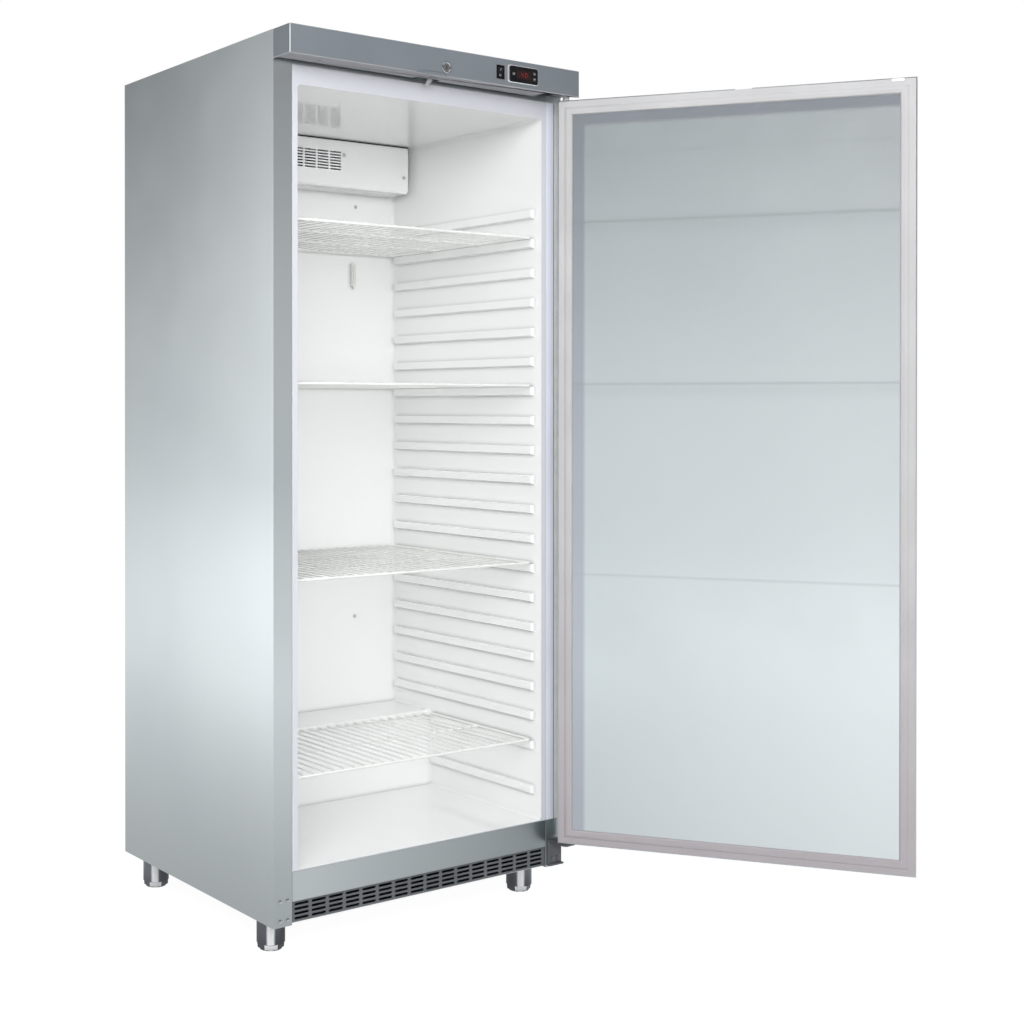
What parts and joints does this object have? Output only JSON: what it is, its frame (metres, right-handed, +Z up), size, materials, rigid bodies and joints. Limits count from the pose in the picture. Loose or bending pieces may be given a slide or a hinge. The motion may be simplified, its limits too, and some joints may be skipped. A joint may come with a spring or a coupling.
{
  "type": "reach in refrigerator",
  "caption": "Tall upright storage refrigerator with a right hung solid door standing open, white ribbed interior, wire shelves, header with lock, switch and controller, and round feet.",
  "frame": {"origin": "on the floor, under the middle of the cabinet body", "axes": "+X to the right seen from the front, +Y to the back, +Z up; the front faces -Y"},
  "size_m": [1.2171, 1.3528, 1.895],
  "materials": {
    "stainless": "satin",
    "grey_enamel": "satin",
    "galvanised": "matte",
    "insulation": "matte",
    "white_moulding": "gloss",
    "grille_grey": "satin",
    "black_plastic": "satin",
    "red_window": "gloss",
    "silver_key": "satin",
    "bright_metal": "polished",
    "cast_tongue": "satin",
    "hinge_steel": "satin",
    "panel_gloss": "gloss",
    "strike_steel": "satin",
    "gasket_grey": "matte",
    "white_bush": "satin",
    "shelf_wire": "gloss",
    "coil_aluminium": "satin",
    "motor_steel": "satin",
    "black_enamel": "gloss",
    "rubber": "matte",
    "copper": "satin",
    "foot_steel": "polished"
  },
  "bodies": {
    "cabinet": {"side_panel_left": "stainless", "side_panel_right": "stainless", "top_panel": "stainless", "back_panel": "galvanised", "base_pan": "galvanised", "compartment_shield": "galvanised", "foam_left": "insulation", "foam_right": "insulation", "foam_back_top": "insulation", "foam_floor": "insulation", "inner_liner": "white_moulding", "lower_front_panel": "stainless", "base_grille": "grille_grey", "header_cover": "grey_enamel", "controller_housing": "black_plastic", "controller_window": "red_window", "switch_bezel": "black_plastic", "lock_housing": "bright_metal", "upper_hinge_bracket": "hinge_steel", "lower_hinge_bracket": "hinge_steel", "hinge_pins": "bright_metal", "screws": "bright_metal", "evaporator_cover": "white_moulding", "evaporator_coil": "coil_aluminium", "evaporator_fan_motor": "motor_steel", "drain_trough": "white_moulding", "temperature_probe": "white_bush", "compressor": "black_enamel", "compressor_mounts": "rubber", "condenser_coil": "coil_aluminium", "condenser_fan_shroud": "galvanised", "condenser_fan_motor": "motor_steel", "condensate_pan": "black_plastic", "refrigerant_line": "copper", "rear_machine_cover": "galvanised", "power_inlet": "black_plastic", "leg_tubes": "foot_steel"},
    "door": {"door_outer_skin": "stainless", "door_foam": "insulation", "door_inner_panel": "panel_gloss", "door_strike": "strike_steel", "door_handle": "black_plastic", "door_gasket": "gasket_grey", "door_bushes": "white_bush"},
    "lock": {"lock_barrel": "bright_metal", "lock_cam": "cast_tongue"},
    "rocker": {"switch_rocker": "black_plastic"},
    "key_set": {"button_set": "silver_key"},
    "key_up": {"button_up": "silver_key"},
    "key_down": {"button_down": "silver_key"},
    "cold_fan": {"evaporator_fan_blades": "black_plastic"},
    "hot_fan": {"condenser_fan_blades": "coil_aluminium"},
    "levelling_front_left": {"foot_front_left": "foot_steel"},
    "levelling_front_right": {"foot_front_right": "foot_steel"},
    "levelling_rear_left": {"foot_rear_left": "foot_steel"},
    "levelling_rear_right": {"foot_rear_right": "foot_steel"},
    "rack_1": {"shelf_1": "shelf_wire"},
    "rack_2": {"shelf_2": "shelf_wire"},
    "rack_3": {"shelf_3": "shelf_wire"},
    "rack_4": {"shelf_4": "shelf_wire"}
  },
  "joints": [
    {"name": "door_hinge", "type": "hinge", "parent": "cabinet", "child": "door", "pos_m": [0.3725, -0.374, 0.98], "axis": [0, 0, 1], "range_deg": [-125, 10]},
    {"name": "lock_turn", "type": "hinge", "parent": "cabinet", "child": "lock", "pos_m": [0.005, -0.38, 1.855], "axis": [0, 1, 0], "range_deg": [-33, 57]},
    {"name": "switch_rock", "type": "hinge", "parent": "cabinet", "child": "rocker", "pos_m": [0.155, -0.397, 1.864], "axis": [1, 0, 0], "range_deg": [-16, 0]},
    {"name": "press_set", "type": "slide", "parent": "cabinet", "child": "key_set", "axis": [0, 1, 0], "range_m": [0, 0.001], "stiffness_N_per_m": 300},
    {"name": "press_up", "type": "slide", "parent": "cabinet", "child": "key_up", "axis": [0, 1, 0], "range_m": [0, 0.001], "stiffness_N_per_m": 300},
    {"name": "press_down", "type": "slide", "parent": "cabinet", "child": "key_down", "axis": [0, 1, 0], "range_m": [0, 0.001], "stiffness_N_per_m": 300},
    {"name": "cold_fan_spin", "type": "hinge", "parent": "cabinet", "child": "cold_fan", "pos_m": [0, 0.168, 1.737], "axis": [0, 1, 0], "continuous": true},
    {"name": "hot_fan_spin", "type": "hinge", "parent": "cabinet", "child": "hot_fan", "pos_m": [-0.22, 0.224, 0.19], "axis": [0, 1, 0], "continuous": true},
    {"name": "level_front_left", "type": "hinge", "parent": "cabinet", "child": "levelling_front_left", "pos_m": [-0.34, -0.248, 0.007], "axis": [0, 0, 1], "continuous": true},
    {"name": "level_front_right", "type": "hinge", "parent": "cabinet", "child": "levelling_front_right", "pos_m": [0.34, -0.248, 0.007], "axis": [0, 0, 1], "continuous": true},
    {"name": "level_rear_left", "type": "hinge", "parent": "cabinet", "child": "levelling_rear_left", "pos_m": [-0.34, 0.272, 0.007], "axis": [0, 0, 1], "continuous": true},
    {"name": "level_rear_right", "type": "hinge", "parent": "cabinet", "child": "levelling_rear_right", "pos_m": [0.34, 0.272, 0.007], "axis": [0, 0, 1], "continuous": true},
    {"name": "slide_rack_1", "type": "slide", "parent": "cabinet", "child": "rack_1", "axis": [0, -1, 0], "range_m": [0, 0.35]},
    {"name": "slide_rack_2", "type": "slide", "parent": "cabinet", "child": "rack_2", "axis": [0, -1, 0], "range_m": [0, 0.35]},
    {"name": "slide_rack_3", "type": "slide", "parent": "cabinet", "child": "rack_3", "axis": [0, -1, 0], "range_m": [0, 0.35]},
    {"name": "slide_rack_4", "type": "slide", "parent": "cabinet", "child": "rack_4", "axis": [0, -1, 0], "range_m": [0, 0.28]}
  ]
}
